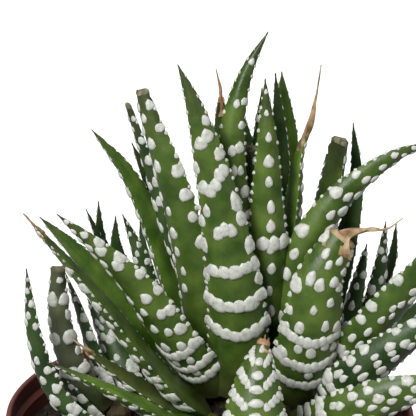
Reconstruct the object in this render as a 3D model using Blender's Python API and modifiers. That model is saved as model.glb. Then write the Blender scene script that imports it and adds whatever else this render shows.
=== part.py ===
"""Potted haworthia: a clump of striped rosettes growing in a thin plastic nursery pot.

Blender 4.5 script, metres, +Z up. The origin is the centre of the pot's underside. -Y is the front.
Lengths below are in millimetres and are turned into metres where the meshes are made.
Every leaf is a solid of its own, lofted along its midrib; stems, soil and pot are separate solids too.
"""

import math
from dataclasses import dataclass

import bmesh
import bpy
import numpy as np

MM = 0.001

# Pot: a standard 9 cm round nursery pot.
POT_HEIGHT = 80.0
POT_RIM_RADIUS = 45.0
POT_BASE_RADIUS = 31.0
POT_WALL = 1.2
POT_FLOOR = 1.6
LIP_WIDTH = 1.0           # how far the rim's lip stands out from the wall
LIP_HEIGHT = 5.0
SHOULDER_DROP = 14.0      # the stacking shoulder lies this far below the rim
SHOULDER_STEP = 1.4       # how far the wall steps in below the shoulder
POT_STEPS = 40
DRAIN_COUNT = 6
DRAIN_RADIUS = 3.5
DRAIN_CIRCLE = 20.0

# Soil: mounded a little round the stems, and below the rim at the wall.
SOIL_EDGE_DROP = 8.0      # soil at the wall, below the rim
SOIL_CROWN_RISE = 1.0     # soil at the middle, above the rim
SOIL_BOTTOM = 3.0
GAP = 0.35                # clearance between neighbouring pieces

# A leaf's cross-section, as shares of its width.
KEEL_DEPTH = 0.34         # outer face, at the keel
KEEL_SHOULDER = 0.25      # outer face, halfway to the margin
FACE_DEPTH = 0.07         # inner face, above the line between the margins
TAIL_WIDTH = 1.3          # a withered, dried-up tip


@dataclass(frozen=True)
class Stem:
    """A short upright stem: where its axis stands, its radii, and its ends above the rim."""

    name: str
    x: float
    y: float
    foot_radius: float
    top_radius: float
    foot: float
    top: float


@dataclass(frozen=True)
class Leaf:
    """A leaf's midrib and its blade.

    path: points that the midrib passes through, from the base to the tip, as x, y and height above the rim.
    width: the blade's greatest width.
    bearing: compass angle of the outer, keeled face, in degrees from +X towards +Y.
    roll: extra turn about the midrib, in degrees.
    full: how much of a whole leaf is there, 1 for a pointed one and less for one cut or dried short.
    fleshy: share of the midrib that is fleshy; past it the leaf has dried to a thin tail.
    """

    name: str
    path: tuple
    width: float
    bearing: float
    roll: float = 0.0
    full: float = 1.0
    fleshy: float = 1.0
    rings: int = 8


STEMS = (
    Stem("main_stem", 6, 5, 8.0, 6.0, -9, 14),
    Stem("right_stem", 22, 3, 6.0, 5.0, -9, 11),
    Stem("left_stem", -20, -3, 4.0, 3.0, -10, 3),
    Stem("front_stem", 10, -21, 4.0, 3.3, -11, 2),
    Stem("rear_left_stem", -14, 23, 3.0, 2.5, -12, 1),
    Stem("rear_right_stem", 30, 22, 3.0, 2.5, -11, -1),
)

MAIN_LEAVES = (
    Leaf("main_leaf_01", ((6.5, 1.5, 14.6), (5.5, -4, 39), (4.5, -4, 60), (5.5, -2, 71), (8, 0, 78.5), (12, 2, 85.5)),
         9.5, -90),
    Leaf("main_leaf_02", ((8.5, 3.5, 14.6), (9, -0.5, 36), (8.5, 0, 49), (8, 1, 60)), 7.5, -80, full=0.75),
    Leaf("main_leaf_03", ((11.5, 0.5, 13), (12.5, -4, 30), (12, -5, 51), (12, -4, 62), (11.5, -2, 76.5)), 10.5, -80),
    Leaf("main_leaf_04", ((9, 6, 14.6), (10, 3, 48), (10.5, 3, 64), (11, 3, 73)), 6.5, -90),
    Leaf("main_leaf_05", ((10, 8, 14.6), (15, 9, 46), (15, 9, 60), (14, 9, 74.5)), 7, 80),
    Leaf("main_leaf_06", ((11.5, 9.7, 12), (15.5, 14.5, 39), (16.5, 15, 58), (15.5, 13.5, 73.5)), 11.5, 80),
    Leaf("main_leaf_07", ((13.2, 5, 13), (16, 2, 35), (17.5, 2, 49.5), (19, 3, 59.5), (21, 4, 64.5), (22.5, 5, 71),
                          (23.5, 6, 77.5)), 11, 20, full=0.92, fleshy=0.76, rings=10),
    Leaf("main_leaf_08", ((3, 11.5, 13), (3, 9, 46), (2.3, 8, 64), (2.3, 8, 71), (1.3, 8, 76)), 7.5, 95, full=0.92,
         fleshy=0.88),
    Leaf("main_leaf_09", ((8, 12, 12), (9.5, 12, 33), (9, 12, 54), (7, 11, 65.5)), 7.5, 90),
    Leaf("main_leaf_10", ((2.5, 5, 14.6), (-7.5, 5, 38), (-13, 6, 56), (-17, 6, 68)), 7.5, -150, full=0.85),
    Leaf("main_leaf_11", ((0, 1, 11), (-1, -1, 24), (-4.5, -3, 42.5), (-9, -2, 58), (-12.5, 0, 67.5), (-14, 1, 72.5)),
         12.5, -125, full=0.88),
    Leaf("main_leaf_12", ((-1, 6, 12), (-6.5, 8, 25), (-13, 11, 42), (-18, 12, 51.5), (-25.5, 12, 61)), 11, 150),
    Leaf("main_leaf_13", ((0, 9, 12), (-7.5, 14, 32.5), (-13, 16, 47), (-17, 16, 56.5)), 7.5, 120),
    Leaf("main_leaf_14", ((5.7, -2.1, 7), (6, -8, 23.5), (3.5, -11, 44.5), (-0.5, -9.5, 63.5), (-4, -8, 75),
                          (-6.5, -7, 81)), 13.8, -95, rings=9),
    Leaf("main_leaf_15", ((1.5, -0.8, 7), (-8, -9, 22.5), (-15, -12, 34.5), (-25, -14, 45.5), (-31.5, -14, 51)),
         12.5, -110),
    Leaf("main_leaf_16", ((-1.2, 3, 7), (-8, 0, 10), (-15.5, -4, 22), (-22, -6, 32), (-29.5, -8, 42), (-35.5, -9, 48.5)),
         9.5, 140),
    Leaf("main_leaf_17", ((-1, -4, 3.5), (-6, -9, 9), (-13, -12, 18.5), (-20, -15, 29.5), (-28, -17, 40.5),
                          (-34.5, -19, 49), (-38, -20, 53.5)), 10, 180, full=0.96, fleshy=0.94),
    Leaf("main_leaf_18", ((0, -7, 2.5), (-5.5, -12, 3.5), (-14, -17, 9.5), (-21, -20, 14.5), (-27.5, -22, 18.5),
                          (-33.5, -23, 21.5)), 8.5, -170),
    Leaf("main_leaf_19", ((-3, -4, 2), (-7, -8, 5), (-15, -12, 11.5), (-22, -14, 17.5), (-29, -15, 23.5)),
         8, 170, full=0.92, fleshy=0.88),
    Leaf("main_leaf_20", ((1, -18, 1), (-8, -26, 8.5), (-16.5, -31, 11), (-24.5, -34, 9.5)), 9.5, 180, roll=30),
    Leaf("main_leaf_21", ((7, 12.4, 5), (8, 22, 17), (10, 33, 29)), 12, 90, rings=7),
    Leaf("main_leaf_22", ((-0.5, 9.5, 4), (-4, 20, 14), (-4, 33, 21)), 10.5, 110, rings=7),
    Leaf("main_leaf_23", ((12, 9.8, 4), (18, 18, 13), (22, 30, 23)), 10.5, 55, rings=7),
    Leaf("main_leaf_24", ((4, 12.4, 9), (2.5, 17, 28), (1, 21, 46)), 10, 100, rings=7),
    Leaf("main_leaf_25", ((10.5, 11, 8), (14, 17.5, 26), (16, 21, 40)), 9.5, 65, rings=7),
)

RIGHT_LEAVES = (
    Leaf("right_leaf_01", ((19, 0.5, 11.5), (18, -4, 30), (21.5, -4, 42.5), (27.5, -3, 51), (34, -2, 56.5),
                           (41, -1, 60.5), (49.5, 0, 62.5)), 9.5, -50, roll=-40, rings=9),
    Leaf("right_leaf_02", ((20.5, 5.5, 11.5), (24, 11, 36), (26.5, 14, 49), (28, 15, 57)), 11, 30, full=0.7),
    Leaf("right_leaf_03", ((23, 9.2, 8), (30, 17, 31), (32.5, 19, 47), (31.5, 18, 60.5)), 7, 60),
    Leaf("right_leaf_04", ((20, -3.3, 6), (20.5, -9, 18.5), (22, -11, 28.5), (23, -11, 35.5), (25.5, -10, 40.5),
                           (29, -9, 45), (33, -9, 46), (37, -9, 46), (40.5, -8, 48)), 13.5, -85, full=0.88, fleshy=0.74,
         rings=11),
    Leaf("right_leaf_05", ((27.7, 0.5, 5), (30, -4, 13.5), (33, -7, 21), (38, -9, 29), (43.5, -10, 36), (50, -10, 44.5),
                           (56, -9, 52.5)), 13, -15, roll=-15),
    Leaf("right_leaf_06", ((25.5, -3.5, 3), (30, -12, 12.5), (39, -14, 21.5), (48.5, -14, 28), (55, -13, 33)),
         11, -40, roll=-40),
    Leaf("right_leaf_07", ((21.5, -8.5, -1.5), (29.5, -18, 8), (40, -21, 14), (50, -22, 17), (56.5, -22, 21)),
         12.5, -40, roll=-50),
    Leaf("right_leaf_08", ((28, 5, 4), (38, 9, 13), (50, 14, 22)), 10, 20, rings=7),
    Leaf("right_leaf_09", ((24.5, 8.8, 1), (26, 13, 9), (27, 17, 18)), 8, 65, rings=7),
)

LEFT_LEAVES = (
    Leaf("left_leaf_01", ((-24.2, -3.5, 2), (-28, -5, 9), (-31, -5, 17), (-32.5, -5, 26), (-32.5, -4, 34.5)),
         6.5, -95, full=0.75),
    Leaf("left_leaf_02", ((-21, 1.3, 2), (-25.5, 2, 15), (-29, 3, 25), (-31.5, 3, 31.5)), 7, -150),
    Leaf("left_leaf_03", ((-17.5, 0.6, 2), (-22, 6, 14), (-27, 9, 22.5)), 9, -120),
    Leaf("left_leaf_04", ((-21, -7, 1), (-26, -12.5, 4), (-31, -13.5, 8), (-35, -13, 15), (-37, -13, 23),
                          (-38.5, -12, 38)), 7, -120),
    Leaf("left_leaf_05", ((-23.6, -5.6, 0), (-28, -6, 5), (-33.5, -4, 11)), 6.5, -130, rings=7),
)

FRONT_LEAVES = (
    Leaf("front_leaf_01", ((9.7, -25.7, -1.5), (9.3, -28.5, 10), (9.5, -27, 16), (10, -25, 21.5), (11.5, -22, 27.5)),
         16, -90, full=0.94, fleshy=0.93),
    Leaf("front_leaf_02", ((5.7, -22.5, 0), (0, -31, 4), (-6, -40, 6)), 8.5, -120, rings=7),
    Leaf("front_leaf_03", ((14.3, -22.5, 0), (21, -29, 4), (30, -37, 5)), 8.5, -50, rings=7),
    Leaf("front_leaf_04", ((10, -16.7, 1), (10, -15, 8), (11, -14, 14)), 7, 90, rings=6),
)

REAR_LEFT_LEAVES = (
    Leaf("rear_left_leaf_01", ((-17.3, 22, 0), (-21, 23, 17), (-25, 25, 30.5), (-28, 26, 37.5)), 6.5, 150, rings=7),
    Leaf("rear_left_leaf_02", ((-16.3, 25.5, 0), (-21, 29, 17), (-25, 30.5, 28.5), (-25.5, 31, 37.5)), 6, 120,
         rings=7),
    Leaf("rear_left_leaf_03", ((-13.3, 26.4, 0), (-18, 29, 17), (-21.5, 28.5, 28), (-21.5, 28, 35)), 6, 100, rings=7),
    Leaf("rear_left_leaf_04", ((-13, 19.5, 0), (-13.5, 19, 17), (-16, 20, 29.5), (-19.5, 21, 38)), 7, -100, rings=7),
    Leaf("rear_left_leaf_05", ((-10.7, 24.5, 0), (-13, 27.5, 16), (-15, 29, 25.5), (-16, 30, 33)), 6, 60, rings=7),
)

REAR_RIGHT_LEAVES = (
    Leaf("rear_right_leaf_01", ((28.8, 18.9, -2), (31.5, 18, 13), (33.5, 20, 21), (35.5, 22, 30.5)), 6.5, -110,
         rings=7),
    Leaf("rear_right_leaf_02", ((33.3, 21.6, -2), (37, 23, 14), (39, 25, 24.5), (40, 26, 34.5)), 7, -60, rings=7),
    Leaf("rear_right_leaf_03", ((31.5, 25, -2), (37.5, 29, 14), (42, 31, 23), (43, 32, 32)), 6, 40, rings=7),
)

LEAVES = MAIN_LEAVES + RIGHT_LEAVES + LEFT_LEAVES + FRONT_LEAVES + REAR_LEFT_LEAVES + REAR_RIGHT_LEAVES


def clear_scene():
    for obj in list(bpy.data.objects):
        bpy.data.objects.remove(obj, do_unlink=True)


def new_collection(name):
    collection = bpy.data.collections.new(name)
    bpy.context.scene.collection.children.link(collection)
    return collection


def new_material(name, color, roughness):
    material = bpy.data.materials.new(name)
    material.use_nodes = True
    shader = material.node_tree.nodes["Principled BSDF"]
    shader.inputs["Base Color"].default_value = (*color, 1.0)
    shader.inputs["Roughness"].default_value = roughness
    shader.inputs["Metallic"].default_value = 0.0
    return material


def add_object(name, mesh, collection, material=None):
    obj = bpy.data.objects.new(name, mesh)
    collection.objects.link(obj)
    if material is not None:
        mesh.materials.append(material)
    return obj


def mark_cutter(obj):
    obj.hide_render = True
    obj.display_type = "WIRE"


def midrib(path, shares):
    """Points and directions at the given shares of the length of a smooth curve through path."""
    points = np.array(path, float)
    knots = np.concatenate(([0.0], np.cumsum(np.linalg.norm(np.diff(points, axis=0), axis=1))))
    slopes = np.gradient(points, knots, axis=0)
    fine = np.linspace(0.0, knots[-1], 241)
    index = np.clip(np.searchsorted(knots, fine, side="right") - 1, 0, len(knots) - 2)
    span = (knots[index + 1] - knots[index])[:, None]
    u = (fine - knots[index])[:, None] / span
    curve = ((2 * u**3 - 3 * u**2 + 1) * points[index] + (u**3 - 2 * u**2 + u) * span * slopes[index]
             + (3 * u**2 - 2 * u**3) * points[index + 1] + (u**3 - u**2) * span * slopes[index + 1])
    length = np.concatenate(([0.0], np.cumsum(np.linalg.norm(np.diff(curve, axis=0), axis=1))))
    wanted = np.array(shares) * length[-1]
    spots = np.stack([np.interp(wanted, length, curve[:, axis]) for axis in range(3)], axis=1)
    headings = np.stack([np.interp(wanted, length, np.gradient(curve[:, axis])) for axis in range(3)], axis=1)
    return spots, headings / np.linalg.norm(headings, axis=1)[:, None]


def blade_width(leaf, share):
    """Width of the blade at a share of the midrib: broad at the base, drawn in to the tip."""
    if share > leaf.fleshy:
        return TAIL_WIDTH
    part = leaf.full * share / leaf.fleshy
    return max(leaf.width * (1.0 - part**1.6) ** 0.8, 0.7)


def ring_shares(leaf):
    """Where the rings lie along the midrib, closer together towards the tip."""
    shares = [1.0 - (1.0 - i / (leaf.rings - 1)) ** 1.2 for i in range(leaf.rings)]
    if leaf.fleshy < 1.0:
        shares = [s for s in shares if abs(s - leaf.fleshy) > 0.03]
        shares = sorted(shares + [leaf.fleshy, leaf.fleshy + 0.03])
    return shares


def leaf_mesh(leaf, grow=0.0):
    """A closed leaf: keeled outer face, nearly flat inner face, blunt or pointed end."""
    shares = ring_shares(leaf)
    spots, headings = midrib(leaf.path, shares)
    spots[0] -= headings[0] * grow
    spots[-1] += headings[-1] * grow
    outward = np.array((math.cos(math.radians(leaf.bearing)), math.sin(math.radians(leaf.bearing)), 0.0))
    across = np.cross((0.0, 0.0, 1.0), outward)
    roll = math.radians(leaf.roll)
    shell = bmesh.new()
    rings = []
    for share, spot, heading in zip(shares, spots, headings):
        outer = np.cross(across, heading)
        outer /= np.linalg.norm(outer)
        side = np.cross(heading, outer)
        outer, side = (outer * math.cos(roll) + np.cross(heading, outer) * math.sin(roll),
                       side * math.cos(roll) + np.cross(heading, side) * math.sin(roll))
        width = blade_width(leaf, share)
        half, keel = 0.5 * width + grow, KEEL_DEPTH * width + grow
        shoulder, face = KEEL_SHOULDER * width + grow, FACE_DEPTH * width + grow
        outline = ((half, 0.0), (0.55 * half, shoulder), (0.0, keel), (-0.55 * half, shoulder),
                   (-half, 0.0), (-0.5 * half, -face), (0.0, -face), (0.5 * half, -face))
        rings.append([shell.verts.new((spot + side * a + outer * b) * MM + rim_offset()) for a, b in outline])
    for low, high in zip(rings, rings[1:]):
        for i in range(len(low)):
            j = (i + 1) % len(low)
            shell.faces.new((low[i], low[j], high[j], high[i]))
    shell.faces.new(list(reversed(rings[0])))
    shell.faces.new(rings[-1])
    bmesh.ops.recalc_face_normals(shell, faces=shell.faces)
    mesh = bpy.data.meshes.new(leaf.name)
    shell.to_mesh(mesh)
    shell.free()
    return mesh


def rim_offset():
    """Heights in the tables are measured from the pot's rim."""
    return np.array((0.0, 0.0, POT_HEIGHT * MM))


def keep_largest_piece(mesh):
    """Drop the offcuts that a cut leaves behind, so that one closed body stays."""
    shell = bmesh.new()
    shell.from_mesh(mesh)
    unseen = set(shell.verts)
    pieces = []
    while unseen:
        piece, front = set(), [unseen.pop()]
        while front:
            vert = front.pop()
            piece.add(vert)
            for edge in vert.link_edges:
                other = edge.other_vert(vert)
                if other in unseen:
                    unseen.remove(other)
                    front.append(other)
        pieces.append(piece)
    keep = max(pieces, key=lambda piece: sum(face.calc_area() for face in {f for v in piece for f in v.link_faces}))
    bmesh.ops.delete(shell, geom=[v for v in shell.verts if v not in keep], context="VERTS")
    shell.to_mesh(mesh)
    shell.free()


def boxes_meet(a, b):
    """Whether the bounding boxes of two unmoved objects meet."""
    a_box, b_box = np.array(a.bound_box), np.array(b.bound_box)
    return bool(np.all(a_box.min(0) <= b_box.max(0)) and np.all(b_box.min(0) <= a_box.max(0)))


def trimmed(obj, cutters, collection, material):
    """The object less its neighbours' grown shapes, as one plain closed mesh."""
    for cutter in cutters:
        if boxes_meet(obj, cutter):
            cut = obj.modifiers.new("clear_" + cutter.name, "BOOLEAN")
            cut.operation = "DIFFERENCE"
            cut.solver = "EXACT"
            cut.object = cutter
    if obj.modifiers:
        graph = bpy.context.evaluated_depsgraph_get()
        mesh = bpy.data.meshes.new_from_object(obj.evaluated_get(graph))
        obj.modifiers.clear()
        keep_largest_piece(mesh)
        obj.data = mesh
    obj.data.materials.clear()
    obj.data.materials.append(material)
    obj.data.shade_smooth()
    obj.data.set_sharp_from_angle(angle=math.radians(50))


def turned(name, profile, collection, steps, material=None):
    """A solid of revolution from a profile of radius and height, both in millimetres, top to bottom."""
    mesh = bpy.data.meshes.new(name)
    points = [(radius * MM, 0.0, height * MM) for radius, height in profile]
    mesh.from_pydata(points, [(i, i + 1) for i in range(len(points) - 1)], [])
    obj = add_object(name, mesh, collection, material)
    screw = obj.modifiers.new("turn", "SCREW")
    screw.steps = screw.render_steps = steps
    screw.use_merge_vertices = True
    screw.merge_threshold = 0.00005
    screw.use_smooth_shade = True
    return obj


def wall_radius(height):
    """Outer radius of the pot's tapered wall at a height."""
    return POT_BASE_RADIUS + (POT_RIM_RADIUS - LIP_WIDTH - SHOULDER_STEP - POT_BASE_RADIUS) * height / POT_HEIGHT


def build_pot(collection, cutters, material):
    """A thin tapered shell with a lipped rim, a stacking shoulder, a flat floor and drain holes."""
    shoulder = POT_HEIGHT - SHOULDER_DROP
    upper = POT_RIM_RADIUS - LIP_WIDTH
    lip = POT_HEIGHT - LIP_HEIGHT
    profile = (
        (0.0, POT_FLOOR), (wall_radius(POT_FLOOR) - POT_WALL, POT_FLOOR),
        (wall_radius(shoulder) - POT_WALL, shoulder), (upper - POT_WALL, shoulder + 1.5),
        (upper - POT_WALL, lip), (POT_RIM_RADIUS - POT_WALL, lip + 1.0), (POT_RIM_RADIUS - POT_WALL, POT_HEIGHT - 0.4),
        (POT_RIM_RADIUS - 0.8, POT_HEIGHT), (POT_RIM_RADIUS - 0.3, POT_HEIGHT), (POT_RIM_RADIUS, POT_HEIGHT - 0.4),
        (POT_RIM_RADIUS, lip), (upper, lip - 0.6), (upper, shoulder + 0.6), (wall_radius(shoulder), shoulder - 0.6),
        (POT_BASE_RADIUS, 1.0), (POT_BASE_RADIUS - 1.0, 0.0), (0.0, 0.0),
    )
    pot = turned("pot", profile, collection, POT_STEPS, material)
    for i in range(DRAIN_COUNT):
        angle = 2 * math.pi * (i + 0.5) / DRAIN_COUNT
        hole = bmesh.new()
        bmesh.ops.create_cone(hole, cap_ends=True, segments=12, radius1=DRAIN_RADIUS * MM, radius2=DRAIN_RADIUS * MM,
                              depth=4 * POT_FLOOR * MM)
        bmesh.ops.translate(hole, verts=hole.verts, vec=(DRAIN_CIRCLE * MM * math.cos(angle),
                                                         DRAIN_CIRCLE * MM * math.sin(angle), 0.0))
        mesh = bpy.data.meshes.new("drain_cutter")
        hole.to_mesh(mesh)
        hole.free()
        cutter = add_object(f"drain_cutter_{i + 1}", mesh, cutters)
        mark_cutter(cutter)
        cut = pot.modifiers.new(cutter.name, "BOOLEAN")
        cut.operation = "DIFFERENCE"
        cut.solver = "EXACT"
        cut.object = cutter
    return pot


def soil_height(radius, grow=0.0):
    """Height of the soil above the pot's underside, mounded towards the middle."""
    reach = min(radius / (POT_RIM_RADIUS - 5.0), 1.0)
    drop = (SOIL_EDGE_DROP + SOIL_CROWN_RISE) * (0.5 - 0.5 * math.cos(math.pi * reach**1.5))
    return POT_HEIGHT + SOIL_CROWN_RISE - drop + grow


def soil_profile(grow=0.0):
    """The soil's outline: the mound, down the inside of the pot, and a flat bottom."""
    edge = POT_RIM_RADIUS - LIP_WIDTH - POT_WALL - GAP + min(grow, 0.0)
    shoulder = POT_HEIGHT - SHOULDER_DROP
    mound = [(radius, soil_height(radius, grow)) for radius in np.linspace(0.0, edge, 8)]
    wall = [(edge, shoulder + 2.0), (wall_radius(shoulder) - POT_WALL - GAP, shoulder + GAP),
            (wall_radius(SOIL_BOTTOM) - POT_WALL - GAP, SOIL_BOTTOM), (0.0, SOIL_BOTTOM)]
    return mound + wall


def stem_mesh(stem, grow=0.0):
    """A stem tapering upwards, rounded off at the top."""
    rows = ((stem.foot_radius, stem.foot), (stem.top_radius, stem.top - 1.5), (0.7 * stem.top_radius, stem.top))
    shell = bmesh.new()
    rings = []
    for radius, height in rows:
        top_or_foot = grow if height > stem.foot else -grow
        ring = []
        for k in range(12):
            angle = 2 * math.pi * k / 12
            ring.append(shell.verts.new(((stem.x + (radius + grow) * math.cos(angle)) * MM,
                                         (stem.y + (radius + grow) * math.sin(angle)) * MM,
                                         (POT_HEIGHT + height + top_or_foot) * MM)))
        rings.append(ring)
    for low, high in zip(rings, rings[1:]):
        for i in range(12):
            j = (i + 1) % 12
            shell.faces.new((low[i], low[j], high[j], high[i]))
    shell.faces.new(list(reversed(rings[0])))
    shell.faces.new(rings[-1])
    mesh = bpy.data.meshes.new(stem.name)
    shell.to_mesh(mesh)
    shell.free()
    return mesh


def main():
    clear_scene()
    parts = new_collection("potted_haworthia")
    cutters = new_collection("cutters")
    pot_plastic = new_material("pot_plastic", (0.155, 0.040, 0.028), 0.45)
    soil_mix = new_material("soil_mix", (0.020, 0.015, 0.012), 0.95)
    stem_skin = new_material("stem_skin", (0.16, 0.13, 0.06), 0.7)
    leaf_skin = new_material("leaf_skin", (0.075, 0.17, 0.035), 0.4)

    build_pot(parts, cutters, pot_plastic)

    stem_cutters = []
    for stem in STEMS:
        obj = add_object(stem.name, stem_mesh(stem), parts, stem_skin)
        obj.data.shade_smooth()
        cutter = add_object(stem.name + "_cutter", stem_mesh(stem, GAP), cutters)
        mark_cutter(cutter)
        stem_cutters.append(cutter)

    soil = turned("soil", soil_profile(), parts, POT_STEPS, soil_mix)
    for cutter in stem_cutters:
        cut = soil.modifiers.new(cutter.name, "BOOLEAN")
        cut.operation = "DIFFERENCE"
        cut.solver = "EXACT"
        cut.object = cutter
    soil_cutter = turned("soil_cutter", soil_profile(GAP), cutters, POT_STEPS)
    mark_cutter(soil_cutter)

    bpy.context.view_layer.update()
    leaf_cutters = []
    for leaf in LEAVES:
        obj = add_object(leaf.name, leaf_mesh(leaf), parts)
        cutter = add_object(leaf.name + "_cutter", leaf_mesh(leaf, GAP), cutters)
        mark_cutter(cutter)
        bpy.context.view_layer.update()
        trimmed(obj, [soil_cutter] + stem_cutters + leaf_cutters, parts, leaf_skin)
        leaf_cutters.append(cutter)


main()
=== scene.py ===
"""Looks of a potted haworthia: leaves with raised white bumps, soil crumbs, stems and a thin plastic pot.

Lengths in the tables are millimetres; heights of leaves are measured from the pot's rim.
Meshes are made in metres, in the frame that the construction model sets.
"""

import logging
import math
from dataclasses import dataclass, field
from enum import Enum
from typing import ClassVar

import bmesh
import bpy
import numpy as np
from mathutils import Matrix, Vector


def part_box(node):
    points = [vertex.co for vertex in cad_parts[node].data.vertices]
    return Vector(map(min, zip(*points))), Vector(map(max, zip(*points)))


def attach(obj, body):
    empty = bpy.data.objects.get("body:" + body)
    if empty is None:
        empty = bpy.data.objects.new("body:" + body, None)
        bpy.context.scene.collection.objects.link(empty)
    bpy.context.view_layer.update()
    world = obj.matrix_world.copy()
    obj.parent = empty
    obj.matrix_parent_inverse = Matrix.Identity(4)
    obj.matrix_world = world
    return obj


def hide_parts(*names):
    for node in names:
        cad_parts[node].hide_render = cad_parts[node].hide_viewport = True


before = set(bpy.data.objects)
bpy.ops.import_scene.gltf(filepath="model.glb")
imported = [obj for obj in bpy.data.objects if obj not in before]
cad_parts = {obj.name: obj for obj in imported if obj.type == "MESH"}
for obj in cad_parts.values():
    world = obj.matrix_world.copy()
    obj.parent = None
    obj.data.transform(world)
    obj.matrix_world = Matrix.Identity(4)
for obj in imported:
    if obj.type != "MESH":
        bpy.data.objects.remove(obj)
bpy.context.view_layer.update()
LOG = logging.getLogger("potted_haworthia")
MM = 0.001
RIM_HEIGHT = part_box("pot")[1][2]
RIM_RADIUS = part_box("pot")[1][0]
Z_AXIS = np.array((0.0, 0.0, 1.0))

Color = tuple[float, float, float]
Point = tuple[float, float, float]
Bump = tuple[float, float, float, float]
Band = tuple[float, float, float, float]
Loop = tuple[int, ...]


class Layer(Enum):
    """The finishes of a leaf's mesh, in the order of its material slots."""

    SKIN = 0
    BUMP = 1
    DRY = 2


class End(Enum):
    """How a leaf ends."""

    POINTED = "pointed"
    CUT = "cut"
    WITHERED = "withered"


class Layout(Enum):
    """How the white bumps lie on a leaf's outer face; BANDS has only those that the leaf lists."""

    ROWS = "rows"
    BANDS = "bands"
    DENSE = "dense"
    BEADS = "beads"
    SPARSE = "sparse"


class Tone(Enum):
    """The green of a leaf's skin, as dark and light colour."""

    FRESH = ((0.050, 0.120, 0.010), (0.150, 0.255, 0.034))
    MID = ((0.034, 0.075, 0.009), (0.105, 0.170, 0.026))
    DEEP = ((0.014, 0.038, 0.009), (0.052, 0.100, 0.022))
    OLIVE = ((0.040, 0.065, 0.014), (0.115, 0.150, 0.038))
    GREY = ((0.045, 0.062, 0.030), (0.120, 0.145, 0.075))


def grey(value: float) -> Color:
    """A colour with the same value in all three channels."""
    return (value, value, value)


def ring_quads(rings: int, count: int) -> list[Loop]:
    """Joins each ring of points to the next with quads.

    Args:
        rings: number of rings.
        count: points in each ring.

    Returns:
        Index loops into the rings' points, ring after ring.
    """
    return [(low * count + i, low * count + (i + 1) % count,
             (low + 1) * count + (i + 1) % count, (low + 1) * count + i)
            for low in range(rings - 1) for i in range(count)]


def add_noise(tree: bpy.types.NodeTree, scale: float, detail: float = 4.0) -> bpy.types.Node:
    """Adds a noise texture in object space.

    Args:
        tree: the material's nodes.
        scale: noise cells to the metre.
        detail: octaves of finer noise.

    Returns:
        The noise node.
    """
    place = tree.nodes.new("ShaderNodeTexCoord")
    noise = tree.nodes.new("ShaderNodeTexNoise")
    noise.inputs["Scale"].default_value = scale
    noise.inputs["Detail"].default_value = detail
    tree.links.new(place.outputs["Object"], noise.inputs["Vector"])
    return noise


def add_ramp(tree: bpy.types.NodeTree, source: bpy.types.NodeSocket,
             stops: tuple[tuple[float, Color], ...]) -> bpy.types.Node:
    """Adds a colour ramp.

    Args:
        tree: the material's nodes.
        source: the socket that drives it.
        stops: places and colours along the ramp.

    Returns:
        The ramp node.
    """
    ramp = tree.nodes.new("ShaderNodeValToRGB")
    elements = ramp.color_ramp.elements
    while len(elements) < len(stops):
        elements.new(0.5)
    for element, (place, color) in zip(elements, stops):
        element.position = place
        element.color = (*color, 1.0)
    tree.links.new(source, ramp.inputs["Fac"])
    return ramp


def add_mix(tree: bpy.types.NodeTree, factor: bpy.types.NodeSocket, low: bpy.types.NodeSocket,
            high: bpy.types.NodeSocket) -> bpy.types.NodeSocket:
    """Mixes two colours by a factor.

    Args:
        tree: the material's nodes.
        factor: the socket that holds the share of the high colour.
        low: the colour where the factor is 0.
        high: the colour where the factor is 1.

    Returns:
        The mixed colour's socket.
    """
    mix = tree.nodes.new("ShaderNodeMix")
    mix.data_type = "RGBA"
    color_in = [socket for socket in mix.inputs if socket.type == "RGBA"]
    color_out = next(socket for socket in mix.outputs if socket.type == "RGBA")
    tree.links.new(factor, mix.inputs["Factor"])
    tree.links.new(low, color_in[0])
    tree.links.new(high, color_in[1])
    return color_out


def add_relief(tree: bpy.types.NodeTree, height: bpy.types.NodeSocket, depth: float,
               strength: float) -> None:
    """Drives the shader's normal from a height.

    Args:
        tree: the material's nodes.
        height: the socket that holds the height.
        depth: relief depth in metres.
        strength: share of the relief that shows.
    """
    bump = tree.nodes.new("ShaderNodeBump")
    bump.inputs["Distance"].default_value = depth
    bump.inputs["Strength"].default_value = strength
    tree.links.new(height, bump.inputs["Height"])
    tree.links.new(bump.outputs["Normal"], tree.nodes["Principled BSDF"].inputs["Normal"])


LOW_SHINE = 0.32
SCATTER_DEPTH = 0.001


def new_material(name: str, roughness: float, subsurface: float = 0.0,
                 depth_colors: Color = (1.0, 0.9, 0.7)) -> bpy.types.Material:
    """Makes an empty node material.

    Args:
        name: the material's name.
        roughness: plain roughness, used where nothing drives it.
        subsurface: weight of light scattered under the skin.
        depth_colors: how far each colour scatters, as shares of the scatter depth.

    Returns:
        The material.
    """
    material = bpy.data.materials.new(name)
    material.use_nodes = True
    shader = material.node_tree.nodes["Principled BSDF"]
    shader.inputs["Roughness"].default_value = roughness
    shader.inputs["Specular IOR Level"].default_value = LOW_SHINE
    shader.inputs["Subsurface Weight"].default_value = subsurface
    shader.inputs["Subsurface Radius"].default_value = depth_colors
    shader.inputs["Subsurface Scale"].default_value = SCATTER_DEPTH
    return material


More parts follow.
